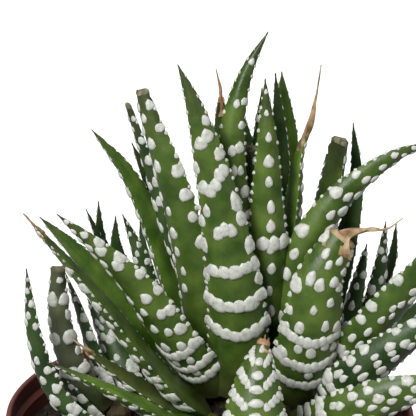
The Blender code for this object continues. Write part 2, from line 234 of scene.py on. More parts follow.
@dataclass(frozen=True)
class LeafSkin:
    """Smooth succulent skin: mottled green, with painted shade that darkens it to a dark olive at the base,
    where the leaves crowd together, and dark at the tip.
    """

    tone: Tone
    # base: dark and light colour of the painted shade at the foot of each leaf, where the leaves crowd
    # together at the stem.
    base: tuple[Color, Color] = ((0.020, 0.020, 0.006), (0.075, 0.080, 0.024))
    tip: tuple[Color, Color] = ((0.020, 0.026, 0.012), (0.050, 0.045, 0.022))
    mottling: float = 170.0
    grain: float = 1500.0
    fleck: float = 1.35

    def material(self) -> bpy.types.Material:
        """Builds the skin once for each tone.

        It reads the attribute along, which each leaf carries: 0 at its base and 1 at its tip.

        Returns:
            The material.
        """
        name = "leaf_skin_" + self.tone.name.lower()
        if name in bpy.data.materials:
            return bpy.data.materials[name]
        dark, light = self.tone.value
        material = new_material(name, 0.4, 0.06, (0.35, 1.0, 0.15))
        tree = material.node_tree
        shader = tree.nodes["Principled BSDF"]
        broad = add_noise(tree, self.mottling, 5.0)
        green = add_ramp(tree, broad.outputs["Fac"], ((0.34, dark), (0.68, light)))
        fine = add_noise(tree, self.grain, 3.0)
        fleck = tuple(min(1.0, self.fleck * value) for value in light)
        speckle = add_ramp(tree, fine.outputs["Fac"], ((0.60, grey(0.0)), (0.78, grey(0.45))))
        flecked = add_ramp(tree, broad.outputs["Fac"], ((0.3, light), (0.7, fleck)))
        mottled = add_mix(tree, speckle.outputs["Color"], green.outputs["Color"], flecked.outputs["Color"])
        along = tree.nodes.new("ShaderNodeAttribute")
        along.attribute_name = "along"
        # Painted shade: the foot of each leaf, down in the crowded rosette, is darkened towards the dark olive
        # of base.
        base = add_ramp(tree, broad.outputs["Fac"], ((0.3, self.base[0]), (0.7, self.base[1])))
        base_shade_share = add_ramp(tree, along.outputs["Fac"], ((0.02, grey(0.9)), (0.16, grey(0.0))))
        base_shaded = add_mix(tree, base_shade_share.outputs["Color"], mottled, base.outputs["Color"])
        tip = add_ramp(tree, broad.outputs["Fac"], ((0.3, self.tip[0]), (0.7, self.tip[1])))
        at_tip = add_ramp(tree, along.outputs["Fac"], ((0.80, grey(0.0)), (1.0, grey(0.75))))
        tipped = add_mix(tree, at_tip.outputs["Color"], base_shaded, tip.outputs["Color"])
        tree.links.new(tipped, shader.inputs["Base Color"])
        gloss = add_ramp(tree, broad.outputs["Fac"], ((0.3, grey(0.33)), (0.7, grey(0.52))))
        tree.links.new(gloss.outputs["Color"], shader.inputs["Roughness"])
        add_relief(tree, fine.outputs["Fac"], 0.00012, 0.5)
        return material


@dataclass(frozen=True)
class GrainyFinish:
    """A finish that runs between three colours by noise, with a fine relief.

    name: the material's name.
    colors: low, middle and high colour.
    scale: noise cells to the metre.
    roughness: middle roughness.
    relief: depth of the relief, in metres.
    subsurface: weight of light scattered under the surface.
    spread: how far the roughness strays to either side.
    """

    name: str
    colors: tuple[Color, Color, Color]
    scale: float
    roughness: float
    relief: float
    subsurface: float = 0.0
    spread: float = 0.12

    def material(self) -> bpy.types.Material:
        """Builds the finish once.

        Returns:
            The material.
        """
        if self.name in bpy.data.materials:
            return bpy.data.materials[self.name]
        material = new_material(self.name, self.roughness, self.subsurface)
        tree = material.node_tree
        shader = tree.nodes["Principled BSDF"]
        noise = add_noise(tree, self.scale, 6.0)
        low, middle, high = self.colors
        ramp = add_ramp(tree, noise.outputs["Fac"], ((0.30, low), (0.50, middle), (0.70, high)))
        tree.links.new(ramp.outputs["Color"], shader.inputs["Base Color"])
        smooth, rough = self.roughness - self.spread, min(1.0, self.roughness + self.spread)
        gloss = add_ramp(tree, noise.outputs["Fac"], ((0.3, grey(smooth)), (0.7, grey(rough))))
        tree.links.new(gloss.outputs["Color"], shader.inputs["Roughness"])
        add_relief(tree, add_noise(tree, 4.0 * self.scale, 3.0).outputs["Fac"], self.relief, 0.6)
        return material


BUMP_FINISH = GrainyFinish(
    "white_bumps", ((0.44, 0.46, 0.38), (0.60, 0.61, 0.55), (0.70, 0.71, 0.66)), 900.0, 0.34, 0.00008, 0.12)
DRY_FINISH = GrainyFinish(
    "dry_tip", ((0.16, 0.085, 0.035), (0.38, 0.25, 0.13), (0.56, 0.42, 0.27)), 500.0, 0.72, 0.00020)
ORANGE_DRY_FINISH = GrainyFinish(
    "orange_dry_tip", ((0.16, 0.070, 0.026), (0.38, 0.20, 0.095), (0.58, 0.42, 0.28)), 500.0, 0.70, 0.00020)
CALLUS_FINISH = GrainyFinish(
    "healed_end", ((0.060, 0.058, 0.030), (0.16, 0.155, 0.085), (0.34, 0.34, 0.22)), 700.0, 0.70, 0.00020)
STEM_FINISH = GrainyFinish(
    "stem_bark", ((0.018, 0.012, 0.005), (0.055, 0.038, 0.016), (0.10, 0.085, 0.035)), 400.0, 0.80, 0.00040)
SOIL_FINISH = GrainyFinish(
    "potting_mix", ((0.004, 0.003, 0.002), (0.012, 0.008, 0.006), (0.045, 0.028, 0.017)), 700.0, 0.85, 0.00050)
POT_FINISH = GrainyFinish(
    "pot_plastic", ((0.095, 0.024, 0.016), (0.135, 0.036, 0.025), (0.175, 0.055, 0.040)), 60.0, 0.42, 0.00004)


@dataclass
class LeafMesh:
    """Collects the patches of one leaf: its points, faces, finishes and places along the leaf."""

    verts: list[list[float]] = field(default_factory=list)
    faces: list[Loop] = field(default_factory=list)
    layers: list[int] = field(default_factory=list)
    shares: list[float] = field(default_factory=list)

    SHARP_ANGLE: ClassVar[float] = math.radians(62)

    def add(self, points: np.ndarray, faces: list[Loop], layer: Layer, share: np.ndarray) -> None:
        """Adds a patch.

        Args:
            points: its points in millimetres, above the rim.
            faces: index loops into points.
            layer: the finish of its faces.
            share: each point's share along the leaf.
        """
        start = len(self.verts)
        self.verts.extend((point * MM + Z_AXIS * RIM_HEIGHT).tolist() for point in points)
        self.faces.extend(tuple(start + i for i in loop) for loop in faces)
        self.layers.extend([layer.value] * len(faces))
        self.shares.extend(np.asarray(share, float).tolist())

    def finish(self, name: str, finishes: tuple[LeafSkin | GrainyFinish, ...]) -> bpy.types.Mesh:
        """Turns the patches into a mesh.

        Args:
            name: the mesh's name.
            finishes: the finishes, in the order of Layer.

        Returns:
            The mesh, smooth shaded and with its along attribute.
        """
        mesh = bpy.data.meshes.new(name)
        mesh.from_pydata(self.verts, [], self.faces)
        for finish in finishes:
            mesh.materials.append(finish.material())
        mesh.polygons.foreach_set("material_index", self.layers)
        along = mesh.attributes.new("along", "FLOAT", "POINT")
        along.data.foreach_set("value", self.shares)
        mesh.shade_smooth()
        mesh.set_sharp_from_angle(angle=self.SHARP_ANGLE)
        mesh.validate()
        return mesh


@dataclass
class Leaf:
    """One leaf: its midrib, its blade, and what grows on it.

    path: points that the midrib passes through, base to tip: x, y and height above the rim.
    width: greatest width of the blade.
    bearing: compass angle of the outer, keeled face, in degrees from +X towards +Y.
    roll: extra turn about the midrib, in degrees.
    full: how much of a whole leaf is there; less than 1 for one cut or dried short.
    fleshy: share of the midrib that is fleshy; past it the leaf is a dry tail.
    plump: how long the blade keeps its width before it draws in.
    tone, end, dry: the skin's green, how the leaf ends, and the finish of a dry or cut end.
    layout: how its bumps lie.
    bands: listed bands as share, start and stop across the blade, and dip in millimetres.
    drops: listed bumps as share, place across, length and width in millimetres.
    rows: places across the blade of its rows of drops, where they are not the layout's own.
    top: share of the leaf above which no drops grow.
    joined: shares of the midrib where the drops join into bands.
    seed: added to the name's own seed for the random draws.

    Widths and heights in capitals are millimetres. KEEL, HOLLOW and RIDGE are shares of the blade's width:
    how far the outer face stands out, the inner face sinks in and the inner midrib stands up. RIPPLE is how
    far the margins wave, as a share of half the width. No bump grows below LOWEST_BUMP, and no drop below
    LOWEST_DROP, both shares of the midrib.
    """

    name: str
    path: tuple[Point, ...]
    width: float
    bearing: float
    roll: float = 0.0
    full: float = 1.0
    fleshy: float = 1.0
    tone: Tone = Tone.DEEP
    layout: Layout = Layout.ROWS
    end: End = End.POINTED
    plump: float = 1.85
    dry: GrainyFinish = DRY_FINISH
    bands: tuple[Band, ...] = ()
    drops: tuple[Bump, ...] = ()
    rows: tuple[float, ...] = ()
    top: float = 1.0
    joined: tuple[float, ...] = (0.27, 0.19, 0.13)
    seed: int = 0

    RINGS: ClassVar[int] = 54
    OUTER: ClassVar[int] = 15
    INNER: ClassVar[int] = 9
    LEAST_WIDTH: ClassVar[float] = 0.35
    KEEL: ClassVar[float] = 0.34
    HOLLOW: ClassVar[float] = 0.06
    RIDGE: ClassVar[float] = 0.03
    RIPPLE: ClassVar[float] = 0.05
    TAIL_WIDTH: ClassVar[float] = 1.2
    TAIL_RINGS: ClassVar[int] = 34
    TAIL_SIDES: ClassVar[int] = 10
    TAIL_TWIST: ClassVar[float] = 5.0
    BUMP_ROWS: ClassVar[tuple[float, ...]] = (1.0, 0.86, 0.6, 0.3)
    BUMP_SIDES: ClassVar[int] = 12
    BUMP_SINK: ClassVar[float] = 0.06
    LOWEST_BUMP: ClassVar[float] = 0.12
    LOWEST_DROP: ClassVar[float] = 0.17

    def __post_init__(self) -> None:
        """Traces the midrib as a smooth curve through its points, with its local directions."""
        self.mesh = LeafMesh()
        self.random = np.random.default_rng(sum(map(ord, self.name)) + self.seed)
        # One cubic piece between each two points, with slopes taken from their neighbours.
        points = np.array(self.path, float)
        knots = np.concatenate(([0.0], np.cumsum(np.linalg.norm(np.diff(points, axis=0), axis=1))))
        slopes = np.gradient(points, knots, axis=0)
        fine = np.linspace(0.0, knots[-1], 241)
        index = np.clip(np.searchsorted(knots, fine, side="right") - 1, 0, len(knots) - 2)
        span = (knots[index + 1] - knots[index])[:, None]
        u = (fine - knots[index])[:, None] / span
        curve = ((2 * u**3 - 3 * u**2 + 1) * points[index] + (u**3 - 2 * u**2 + u) * span * slopes[index]
                 + (3 * u**2 - 2 * u**3) * points[index + 1] + (u**3 - u**2) * span * slopes[index + 1])
        run = np.concatenate(([0.0], np.cumsum(np.linalg.norm(np.diff(curve, axis=0), axis=1))))
        self.length = float(run[-1])
        self.along = run / run[-1]
        self.curve = curve
        heading = np.gradient(curve, axis=0)
        heading /= np.linalg.norm(heading, axis=1)[:, None]
        # The outer face first turns to its bearing and is then rolled about the midrib.
        angle = math.radians(self.bearing)
        across = np.cross(Z_AXIS, (math.cos(angle), math.sin(angle), 0.0))
        outer = np.cross(across[None, :], heading)
        outer /= np.linalg.norm(outer, axis=1)[:, None]
        side = np.cross(heading, outer)
        turn = math.radians(self.roll)
        self.heading = heading
        self.outer = outer * math.cos(turn) + np.cross(heading, outer) * math.sin(turn)
        self.side = side * math.cos(turn) + np.cross(heading, side) * math.sin(turn)

    def at(self, table: np.ndarray, share: np.ndarray) -> np.ndarray:
        """Reads a table of vectors at shares of the midrib's length."""
        return np.stack([np.interp(share, self.along, table[:, axis]) for axis in range(3)], axis=-1)

    def blade(self, share: np.ndarray) -> np.ndarray:
        """Finds the blade's width.

        Args:
            share: places along the midrib, 0 to 1.

        Returns:
            The widths, in millimetres.
        """
        part = np.clip(self.full * np.asarray(share, float) / self.fleshy, 0.0, 1.0)
        width = self.width * (1.0 - part**self.plump) ** 0.82
        return np.maximum(width, self.LEAST_WIDTH)

    def surface(self, share: np.ndarray, across: np.ndarray, lift: np.ndarray) -> np.ndarray:
        """Points on or above the outer face.

        Args:
            share: places along the midrib, 0 to 1.
            across: places across the blade, -1 at one margin and 1 at the other.
            lift: heights above the skin, in millimetres.

        Returns:
            The points, in millimetres.
        """
        share = np.clip(share, 0.0, 1.0)
        width = self.blade(share)
        across = np.clip(across, -1.06, 1.06)
        inside = np.clip(np.abs(across), 0.0, 1.0)
        arch = self.KEEL * width * (1.0 - inside**2.0) ** 0.8
        slope = -self.KEEL * 2.0 * 1.6 * across * np.clip(1.0 - inside**2.0, 0.04, 1.0) ** -0.2
        outer, side = self.at(self.outer, share), self.at(self.side, share)
        normal = outer - side * slope[..., None]
        normal /= np.linalg.norm(normal, axis=-1)[..., None]
        spot = self.at(self.curve, share) + side * (0.5 * width * across)[..., None]
        return spot + outer * arch[..., None] + normal * np.asarray(lift)[..., None]

    def directions(self, share: float) -> tuple[np.ndarray, np.ndarray, np.ndarray]:
        """Midrib point, sideways direction and outward direction at one share of the length."""
        place = np.array(share)
        return self.at(self.curve, place), self.at(self.side, place), self.at(self.outer, place)

    def width_at(self, share: float) -> float:
        """Width of the blade, in millimetres, at one share of the midrib's length."""
        return float(self.blade(np.array(share)))

    def add_blade(self) -> None:
        """The blade itself: keeled outer face, slightly hollow inner face, and its end."""
        ending = self.fleshy if self.end is End.WITHERED else 1.0
        steps = np.linspace(0.0, 1.0, self.RINGS)
        share = ending * (1.0 - (1.0 - steps) ** 1.15)
        outer_a = np.cos(np.linspace(0.0, math.pi, self.OUTER))
        inner_a = np.linspace(-1.0, 1.0, self.INNER + 2)[1:-1]
        wave_start = self.random.uniform(0, 6)
        ripple = self.RIPPLE * np.sin(self.length * share * 2.4 + wave_start) * (share > 0.25)
        rings = []
        for s, wave in zip(share, ripple):
            width = self.width_at(s)
            here = np.full(self.OUTER, s)
            rim = np.abs(outer_a) > 0.97
            outside = self.surface(here, outer_a * (1.0 + wave * rim), np.zeros(self.OUTER))
            ridge = self.RIDGE * width * np.exp(-(inner_a / 0.25) ** 2)
            hollow = ridge - self.HOLLOW * width * (1.0 - inner_a**2)
            middle, side, outer = self.directions(s)
            inside = middle + side * (0.5 * width * inner_a)[:, None] + outer * hollow[:, None]
            rings.append(np.vstack((outside, inside)))
        count = self.OUTER + self.INNER
        self.mesh.add(np.vstack(rings), ring_quads(len(rings), count), Layer.SKIN, np.repeat(share, count))
        self.add_caps(rings, float(share[-1]))

    def add_caps(self, rings: list[np.ndarray], last: float) -> None:
        """Closes the blade at both ends; a cut end has healed to a blunt, dry callus.

        Args:
            rings: the blade's rings of points, base to tip.
            last: share of the midrib at the last ring.
        """
        first, end = rings[0], rings[-1]
        count = len(first)
        loops = [(i, (i + 1) % count, count) for i in range(count)]
        base = np.vstack((first, first.mean(axis=0)))
        self.mesh.add(base, [(b, a, c) for a, b, c in loops], Layer.SKIN, np.zeros(count + 1))
        heading = self.at(self.heading, np.array(last))
        if self.end is End.POINTED:
            tip = np.vstack((end, end.mean(axis=0) + heading * 0.5))
            self.mesh.add(tip, loops, Layer.SKIN, np.ones(count + 1))
            return
        middle = end.mean(axis=0)
        lip_height = 0.45 + 0.25 * self.random.random((count, 1))
        crown_height = 1.05 + 0.25 * self.random.random((count, 1))
        lip = middle + (end - middle) * 1.04 + heading * lip_height
        crown = middle + (end - middle) * 0.72 + heading * crown_height
        points = np.vstack((end, lip, crown, middle + heading * 0.9))
        fan = [(2 * count + i, 2 * count + (i + 1) % count, 3 * count) for i in range(count)]
        self.mesh.add(points, ring_quads(3, count) + fan, Layer.DRY, np.full(len(points), last))

    def add_tail(self) -> None:
        """A withered leaf's dry, twisted and grooved tail, shrunk from the last of the blade."""
        if self.end is not End.WITHERED:
            return
        start = max(self.fleshy - 0.05, 0.0)
        share = np.linspace(start, 1.0, self.TAIL_RINGS)
        green_width = self.width_at(start)
        sides = self.TAIL_SIDES
        rings = []
        for s in share:
            gone = (s - start) / (1.0 - start)
            shrink = (1.0 - gone) ** 3
            width = green_width * 1.04 * shrink + self.TAIL_WIDTH * (1.0 - shrink) * (1.0 - 0.75 * gone)
            thick = 0.5 * width * (0.45 + 0.25 * gone)
            twist = self.TAIL_TWIST * gone
            middle, side, outer = self.directions(s)
            middle = middle + outer * (0.12 * width)
            ring = []
            for k in range(sides):
                angle = 2 * math.pi * k / sides
                crease = 1.0 - 0.22 * (k % 2)
                flat, deep = 0.5 * width * crease * math.cos(angle), thick * crease * math.sin(angle)
                sideways = flat * math.cos(twist) - deep * math.sin(twist)
                outward = flat * math.sin(twist) + deep * math.cos(twist)
                ring.append(middle + side * sideways + outer * outward)
            rings.append(ring)
        points = np.array(rings).reshape(-1, 3)
        faces = ring_quads(self.TAIL_RINGS, sides)
        last = (self.TAIL_RINGS - 1) * sides
        faces.append(tuple(last + i for i in range(sides)))
        faces.append(tuple(reversed(range(sides))))
        self.mesh.add(points, faces, Layer.DRY, np.repeat(share, sides))

    def add_bump(self, share: float, across: float, long: float, wide: float) -> None:
        """One raised white bump that follows the skin's curve.

        Args:
            share: its place along the midrib.
            across: its place across the outer face.
            long: its length along the leaf, in millimetres.
            wide: its width across the leaf, in millimetres.
        """
        width = self.width_at(share)
        rows, sides = self.BUMP_ROWS, self.BUMP_SIDES
        height = 0.13 * min(long, wide) + 0.12
        angle = np.linspace(0.0, 2 * math.pi, sides, endpoint=False)
        wobble = 1.0 + 0.07 * self.random.standard_normal(sides)
        lean = 1.0 - 0.22 * np.cos(angle)
        points = []
        for row in rows:
            reach = row * wobble
            s = share + reach * np.cos(angle) * 0.5 * long / self.length
            a = across + reach * np.sin(angle) * lean * wide / width
            sink = self.BUMP_SINK if row == rows[0] else 0.0
            lift = height * math.sqrt(max(1.0 - row**2.4, 0.0)) - sink
            points.append(self.surface(s, a, np.full(sides, lift)))
        top = self.surface(np.array([share]), np.array([across]), np.array([height]))
        points = np.vstack(points + [top])
        faces = [(a, d, c, b) for a, b, c, d in ring_quads(len(rows), sides)]
        last = (len(rows) - 1) * sides
        faces += [(last + i, len(points) - 1, last + (i + 1) % sides) for i in range(sides)]
        self.mesh.add(points, faces, Layer.BUMP, np.full(len(points), share))

    def add_band(self, share: float, left: float, right: float, dip: float, size: float = 1.0) -> None:
        """A chain of joined bumps across the leaf, dipping towards the base in the middle.

        Args:
            share: place along the midrib of the band's ends.
            left: place across the leaf where it starts.
            right: place across the leaf where it stops.
            dip: how far its middle hangs towards the base, in millimetres.
            size: scale of its bumps.
        """
        width = self.width_at(share)
        reach = 0.5 * width * (right - left)
        spacing = 1.7 * size
        count = max(2, int(round(reach / spacing)))
        for k in range(count):
            part = k / (count - 1)
            across = left + (right - left) * part
            drop = dip * (1.0 - across**2) / self.length
            jitter = self.random.normal(0.0, 0.12) / self.length
            self.add_bump(share - drop + jitter, across, 3.1 * size * self.random.uniform(0.85, 1.15),
                          1.95 * reach / count)

    def lay_rows(self, step: float, places: tuple[float, ...], size: float, keep: float) -> None:
        """Drops in staggered lengthwise rows, larger towards the base, joined into bands near it.

        Args:
            step: distance along the leaf between the drops of a row, in millimetres.
            places: the rows' places across the blade.
            size: length of a drop on a broad part, in millimetres.
            keep: share of the drops that is there.
        """
        ending = min(self.top, self.fleshy if self.end is End.WITHERED else 0.985)
        for row, across in enumerate(self.rows or places):
            share = ending - (0.3 + 0.5 * (row % 2)) * step / self.length
            while share > self.LOWEST_DROP:
                width = self.width_at(share)
                grown = size * min(1.0, 0.30 + 0.12 * width) * self.random.uniform(0.82, 1.18)
                fits = width > 3.4 or abs(across) < 0.4 or row % 2 == 0
                if fits and self.random.random() < keep:
                    spot = across + self.random.normal(0.0, 0.06)
                    stout = self.random.uniform(0.72, 1.0)
                    spot = float(np.clip(spot, -0.95, 0.95))
                    self.add_bump(share, spot, grown * 1.25, grown * stout)
                share -= step * self.random.uniform(0.85, 1.15) / self.length
        for share in self.joined:
            self.add_band(share, -0.85, 0.85, 0.08 * self.width, 0.8)

    def lay_beads(self) -> None:
        """A column of beads on the keel, with scalloped bands that run from it to both margins."""
        share = 0.90
        while share > self.LOWEST_BUMP:
            width = self.width_at(share)
            self.add_bump(share, 0.0, 1.9, min(0.32 * width, 3.4))
            share -= 2.7 / self.length
        share = 0.78
        while share > self.LOWEST_BUMP:
            width = self.width_at(share)
            for hand in (-1, 1):
                for k in range(4):
                    across = hand * (0.40 + 0.17 * k)
                    self.add_bump(share + (0.8 + 0.75 * k) / self.length, across, 2.0, 0.13 * width)
            share -= 4.3 / self.length

    def lay_bumps(self) -> None:
        """Places every bump that the leaf's layout calls for, and its own listed ones."""
        if self.layout is Layout.ROWS:
            self.lay_rows(step=4.8, places=(-0.66, 0.02, 0.68), size=2.15, keep=0.85)
        elif self.layout is Layout.DENSE:
            self.lay_rows(step=3.8, places=(-0.8, -0.42, 0.0, 0.40, 0.78), size=1.85, keep=0.8)
        elif self.layout is Layout.SPARSE:
            self.lay_rows(step=7.5, places=(-0.75, 0.75), size=1.8, keep=0.8)
        elif self.layout is Layout.BEADS:
            self.lay_beads()
        for share, left, right, dip in self.bands:
            self.add_band(share, left, right, dip)
        for drop in self.drops:
            self.add_bump(*drop)

    def lay_margins(self) -> None:
        """Small pale teeth along both margins."""
        ending = self.fleshy if self.end is End.WITHERED else 0.97
        for hand in (-1.0, 1.0):
            share = self.LOWEST_BUMP
            while share < ending:
                width = self.width_at(share)
                tooth = (0.42 + 0.022 * width) * self.random.uniform(0.7, 1.3)
                self.add_bump(share, hand * 0.985, tooth * 1.7, tooth)
                share += self.random.uniform(1.6, 3.2) / self.length

    def build(self) -> bpy.types.Object:
        """Makes the leaf's piece, which stands for its node.

        Returns:
            The finished object.
        """
        self.add_blade()
        self.add_tail()
        self.lay_bumps()
        self.lay_margins()
        finishes = (LeafSkin(self.tone), BUMP_FINISH, self.dry)
        mesh = self.mesh.finish(self.name + "_blade", finishes)
        return add_piece(self.name + "_blade", mesh, "leaf_skin", self.name)


def add_piece(name: str, mesh: bpy.types.Mesh, slot: str, *nodes: str) -> bpy.types.Object:
    """Adds a mesh as a piece that rides on the pot and plant.

    Args:
        name: the piece's name.
        mesh: its mesh, in the frame's own place.
        slot: the name of a material slot; not used.
        nodes: the nodes that it stands for.

    Returns:
        The piece.
    """
    piece = bpy.data.objects.new(name, mesh)
    bpy.context.scene.collection.objects.link(piece)
    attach(piece, "root")
    if nodes:
        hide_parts(*nodes)
    LOG.info("%s: %d faces", name, len(mesh.polygons))
    return piece


@dataclass
class Rosette:
    """The leaves that grow on one stem, and the stem's rough skin."""

    stem: str
    leaves: tuple[Leaf, ...]

    def build(self) -> None:
        """Builds every leaf and dresses the stem."""
        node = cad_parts[self.stem]
        node.data.materials.clear()
        node.data.materials.append(STEM_FINISH.material())
        for leaf in self.leaves:
            leaf.build()


MAIN = Rosette("main_stem", (
    Leaf("main_leaf_01", ((6.5, 1.5, 14.6), (5.5, -4, 39), (4.5, -4, 60), (5.5, -2, 71), (8, 0, 78.5),
         (12, 2, 85.5)), 9.5, -90, tone=Tone.MID, rows=(0.05, 0.72), joined=(), seed=3),
    Leaf("main_leaf_02", ((8.5, 3.5, 14.6), (9, -0.5, 36), (8.5, 0, 49), (8, 1, 60)), 7.5, -80, full=0.75,
         end=End.CUT, dry=CALLUS_FINISH),
    Leaf("main_leaf_03", ((11.5, 0.5, 13), (12.5, -4, 30), (12, -5, 51), (12, -4, 62), (11.5, -2, 76.5)),
         10.5, -80, tone=Tone.MID, rows=(0.0,), joined=(), bands=((0.46, -0.35, 0.75, -0.3),)),
    Leaf("main_leaf_04", ((9, 6, 14.6), (10, 3, 48), (10.5, 3, 64), (11, 3, 73)), 6.5, -90),
    Leaf("main_leaf_05", ((10, 8, 14.6), (15, 9, 46), (15, 9, 60), (14, 9, 74.5)), 7, 80),
    Leaf("main_leaf_06", ((11.5, 9.7, 12), (15.5, 14.5, 39), (16.5, 15, 58), (15.5, 13.5, 73.5)), 11.5,
         80, tone=Tone.FRESH),
    Leaf("main_leaf_07", ((13.2, 5, 13), (16, 2, 35), (17.5, 2, 49.5), (19, 3, 59.5), (21, 4, 64.5),
         (22.5, 5, 71), (23.5, 6, 77.5)), 11, 20, full=0.92, fleshy=0.76, tone=Tone.FRESH,
         end=End.WITHERED),
    Leaf("main_leaf_08", ((3, 11.5, 13), (3, 9, 46), (2.3, 8, 64), (2.3, 8, 71), (1.3, 8, 76)), 7.5, 95,
         full=0.92, fleshy=0.88, end=End.WITHERED, dry=ORANGE_DRY_FINISH),
    Leaf("main_leaf_09", ((8, 12, 12), (9.5, 12, 33), (9, 12, 54), (7, 11, 65.5)), 7.5, 90),
    Leaf("main_leaf_10", ((2.5, 5, 14.6), (-7.5, 5, 38), (-13, 6, 56), (-17, 6, 68)), 7.5, -150,
         full=0.85, end=End.CUT, dry=CALLUS_FINISH),
    Leaf("main_leaf_11", ((0, 1, 11), (-1, -1, 24), (-4.5, -3, 42.5), (-9, -2, 58), (-12.5, 0, 67.5),
         (-14, 1, 72.5)), 12.5, -125, full=0.88, tone=Tone.MID, end=End.CUT, dry=CALLUS_FINISH,
         rows=(-0.72, -0.2, 0.82), joined=()),
    Leaf("main_leaf_12", ((-1, 6, 12), (-6.5, 8, 25), (-13, 11, 42), (-18, 12, 51.5), (-25.5, 12, 61)),
         11, 150, tone=Tone.FRESH),
    Leaf("main_leaf_13", ((0, 9, 12), (-7.5, 14, 32.5), (-13, 16, 47), (-17, 16, 56.5)), 7.5, 120),
    Leaf("main_leaf_14", ((5.7, -2.1, 7), (6, -8, 23.5), (3.5, -11, 44.5), (-0.5, -9.5, 63.5),
         (-4, -8, 75), (-6.5, -7, 81)), 13.8, -95, tone=Tone.MID, layout=Layout.BANDS, plump=1.7,
         bands=((0.425, -0.62, 0.62, -0.4), (0.337, -0.9, 0.92, 1.0), (0.252, -0.97, 0.97, 1.5)),
         drops=((0.785, -0.28, 3.0, 3.0), (0.80, 0.35, 3.3, 2.6), (0.745, 0.72, 2.8, 2.2),
         (0.84, 0.65, 2.6, 1.6), (0.665, -0.62, 3.2, 2.6), (0.655, -0.28, 3.0, 2.6),
         (0.668, 0.05, 3.0, 2.5), (0.692, 0.38, 3.2, 2.4), (0.70, 0.66, 3.0, 2.2), (0.72, -0.9, 3.0, 1.5),
         (0.61, 0.80, 4.6, 2.2), (0.60, -0.62, 3.0, 1.7), (0.538, -0.22, 3.0, 2.4),
         (0.546, 0.08, 3.2, 2.8), (0.54, 0.36, 3.0, 2.2), (0.565, 0.84, 3.8, 1.8),
         (0.57, -0.93, 3.2, 1.5), (0.50, -0.93, 3.6, 1.6), (0.485, 0.90, 3.8, 1.9),
         (0.43, 0.93, 3.4, 1.9), (0.41, -0.94, 3.4, 1.6), (0.385, 0.95, 3.0, 1.5))),
    Leaf("main_leaf_15", ((1.5, -0.8, 7), (-8, -9, 22.5), (-15, -12, 34.5), (-25, -14, 45.5),
         (-31.5, -14, 51)), 12.5, -110, tone=Tone.MID, rows=(-0.72, -0.2, 0.42, 0.86),
         joined=(0.30, 0.22, 0.15)),
    Leaf("main_leaf_16", ((-1.2, 3, 7), (-8, 0, 10), (-15.5, -4, 22), (-22, -6, 32), (-29.5, -8, 42),
         (-35.5, -9, 48.5)), 10.5, 140, tone=Tone.FRESH),
    Leaf("main_leaf_17", ((-1, -4, 3.5), (-6, -9, 9), (-13, -12, 18.5), (-20, -15, 29.5),
         (-28, -17, 40.5), (-34.5, -19, 49), (-38, -20, 53.5)), 10.5, 180, full=0.96, fleshy=0.94,
         tone=Tone.MID, end=End.WITHERED),
    Leaf("main_leaf_18", ((0, -7, 2.5), (-5.5, -12, 3.5), (-14, -17, 9.5), (-21, -20, 14.5),
         (-27.5, -22, 18.5), (-33.5, -23, 21.5)), 8.5, -170, tone=Tone.FRESH),
    Leaf("main_leaf_19", ((-3, -4, 2), (-7, -8, 5), (-15, -12, 11.5), (-22, -14, 17.5), (-29, -15, 23.5)),
         8, 170, full=0.92, fleshy=0.88, tone=Tone.OLIVE, end=End.WITHERED),
    Leaf("main_leaf_20", ((1, -18, 1), (-8, -26, 8.5), (-16.5, -31, 11), (-24.5, -34, 9.5)), 9.5, 180,
         roll=30, tone=Tone.MID),
    Leaf("main_leaf_21", ((7, 12.4, 5), (8, 22, 17), (10, 33, 29)), 12, 90),
    Leaf("main_leaf_22", ((-0.5, 9.5, 4), (-4, 20, 14), (-4, 33, 21)), 10.5, 110),
    Leaf("main_leaf_23", ((12, 9.8, 4), (18, 18, 13), (22, 30, 23)), 10.5, 55),
    Leaf("main_leaf_24", ((4, 12.4, 9), (2.5, 17, 28), (1, 21, 46)), 10, 100),
    Leaf("main_leaf_25", ((10.5, 11, 8), (14, 17.5, 26), (16, 21, 40)), 9.5, 65),
))

RIGHT = Rosette("right_stem", (
    Leaf("right_leaf_01", ((19, 0.5, 11.5), (18, -4, 30), (21.5, -4, 42.5), (27.5, -3, 51),
         (34, -2, 56.5), (41, -1, 60.5), (49.5, 0, 62.5)), 9.5, -50, roll=-40, tone=Tone.MID,
         rows=(-0.55, 0.1, 0.72), joined=()),
    Leaf("right_leaf_02", ((20.5, 5.5, 11.5), (24, 11, 36), (26.5, 14, 49), (28, 15, 57)), 11, 30,
         full=0.7, end=End.CUT, dry=CALLUS_FINISH, layout=Layout.SPARSE, tone=Tone.MID),
    Leaf("right_leaf_03", ((23, 9.2, 8), (30, 17, 31), (32.5, 19, 47), (31.5, 18, 60.5)), 7, 60),
    Leaf("right_leaf_04", ((20, -3.3, 6), (20.5, -9, 18.5), (22, -11, 28.5), (23, -11, 35.5),
         (25.5, -10, 40.5), (29, -9, 45), (33, -9, 46), (37, -9, 46), (40.5, -8, 48)), 14.5, -85,
         full=0.8, fleshy=0.74, tone=Tone.MID, end=End.WITHERED, plump=2.2,
         rows=(-0.85, -0.45, 0.0, 0.45, 0.85), joined=(0.36, 0.25, 0.16)),
    Leaf("right_leaf_05", ((27.7, 0.5, 5), (30, -4, 13.5), (33, -7, 21), (38, -9, 29), (43.5, -10, 36),
         (50, -10, 44.5), (56, -9, 52.5)), 13, -15, roll=-50, tone=Tone.MID, layout=Layout.DENSE,
         top=0.62),
    Leaf("right_leaf_06", ((25.5, -3.5, 3), (30, -12, 12.5), (39, -14, 21.5), (48.5, -14, 28),
         (55, -13, 33)), 11, -40, roll=-62, layout=Layout.DENSE),
    Leaf("right_leaf_07", ((21.5, -8.5, -1.5), (29.5, -18, 8), (40, -21, 14), (50, -22, 17),
         (56.5, -22, 21)), 12.5, -40, roll=-68, tone=Tone.MID, layout=Layout.DENSE),
    Leaf("right_leaf_08", ((28, 5, 4), (38, 9, 13), (50, 14, 22)), 10, 20),
    Leaf("right_leaf_09", ((24.5, 8.8, 1), (26, 13, 9), (27, 17, 18)), 8, 65),
))

